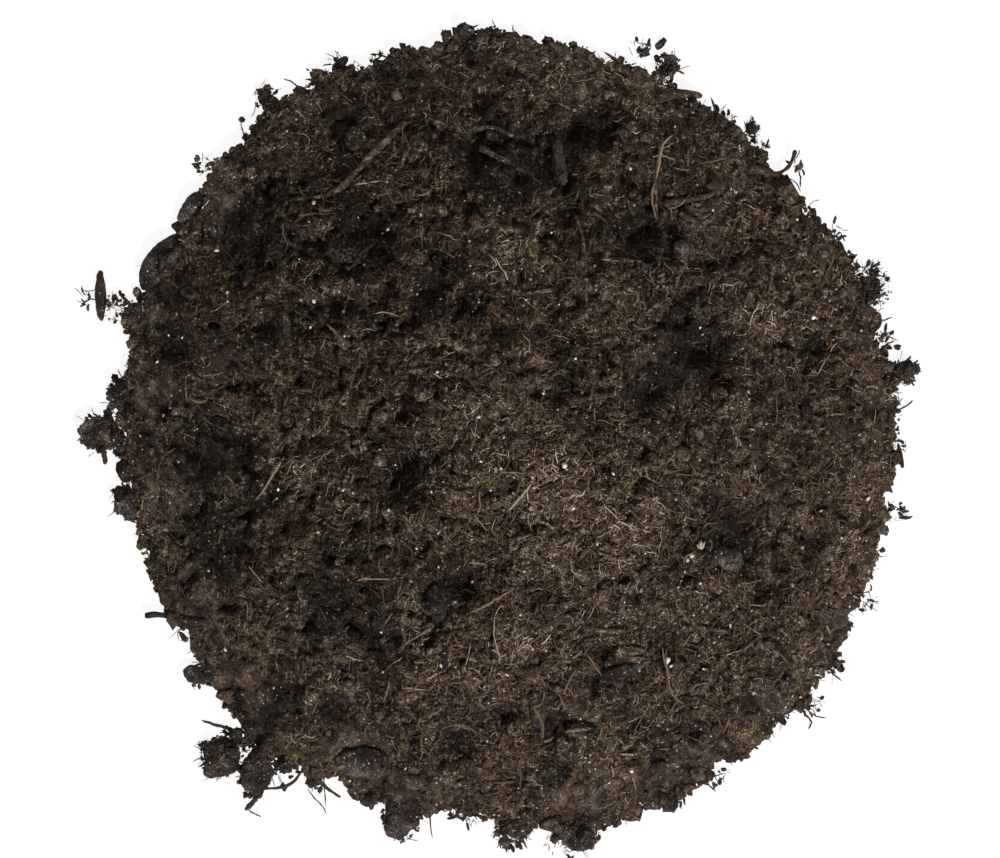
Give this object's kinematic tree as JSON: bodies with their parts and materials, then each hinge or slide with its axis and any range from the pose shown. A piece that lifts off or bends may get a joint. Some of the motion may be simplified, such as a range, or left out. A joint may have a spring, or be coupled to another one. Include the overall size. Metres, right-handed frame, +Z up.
{
  "type": "compost heap",
  "caption": "Round, lumpy heap of moist dark compost with roots, twigs, bark and clods lying in it, flat underneath so that it rests on any level surface.",
  "frame": {"origin": "middle of the flat underside, on the surface that the heap rests on", "axes": "+Z up out of the heap, -Z out of the flat underside, +Y towards the top of the picture taken from above, +X towards its right"},
  "size_m": [0.3358, 0.3237, 0.0849],
  "materials": {
    "compost": "matte",
    "clod": "matte",
    "root": "matte",
    "wood": "matte",
    "bark": "matte",
    "straw": "matte",
    "grain": "matte"
  },
  "bodies": {
    "root": {"bark_chip_left": "bark", "bud_yellow": "grain", "chip_rim_right": "bark", "chip_rim_top_left": "bark", "clod_dark_right": "clod", "clod_grey_lower": "clod", "clod_grey_right": "clod", "clod_lower_right": "clod", "clod_middle": "clod", "clod_middle_left": "clod", "clod_rim_bottom": "clod", "clod_rim_left": "clod", "clod_rim_left_high": "clod", "clod_rim_left_low": "clod", "clod_rim_lower_left": "clod", "clod_rim_lower_left_high": "clod", "clod_rim_lower_left_outer": "clod", "clod_rim_top_right": "clod", "clod_upper_right": "clod", "clump_rim_bottom": "clod", "clump_rim_left_upper": "clod", "compost_mass": "compost", "long_root": "root", "root_curved_lower_left": "root", "root_curved_middle": "root", "root_curved_upper": "root", "root_orange": "straw", "root_rim_left": "bark", "slab_bottom": "clod", "slab_rim_left_upper": "clod", "slab_rim_upper_left": "clod", "sliver_rim_left": "bark", "splinter_middle": "wood", "stalk_left": "wood", "straw_lower_left": "straw", "straw_orange": "straw", "tongue_rim_bottom": "clod", "tuft_rim_right": "clod", "tuft_rim_right_high": "clod", "tuft_rim_top_left": "clod", "twig_bent_right": "wood", "twig_curved_right": "root", "twig_curved_top": "root", "twig_diagonal_right": "wood", "twig_lower_right": "wood", "twig_middle": "root", "twig_right_slope": "wood", "twig_rim_lower_left": "wood", "twig_rim_right": "wood", "twig_rim_upper_right": "wood", "twig_short_upper": "wood", "twig_top_middle": "wood", "wood_chip_right": "wood", "wood_chunk_lower": "bark", "wood_strip_top": "wood"}
  },
  "joints": []
}
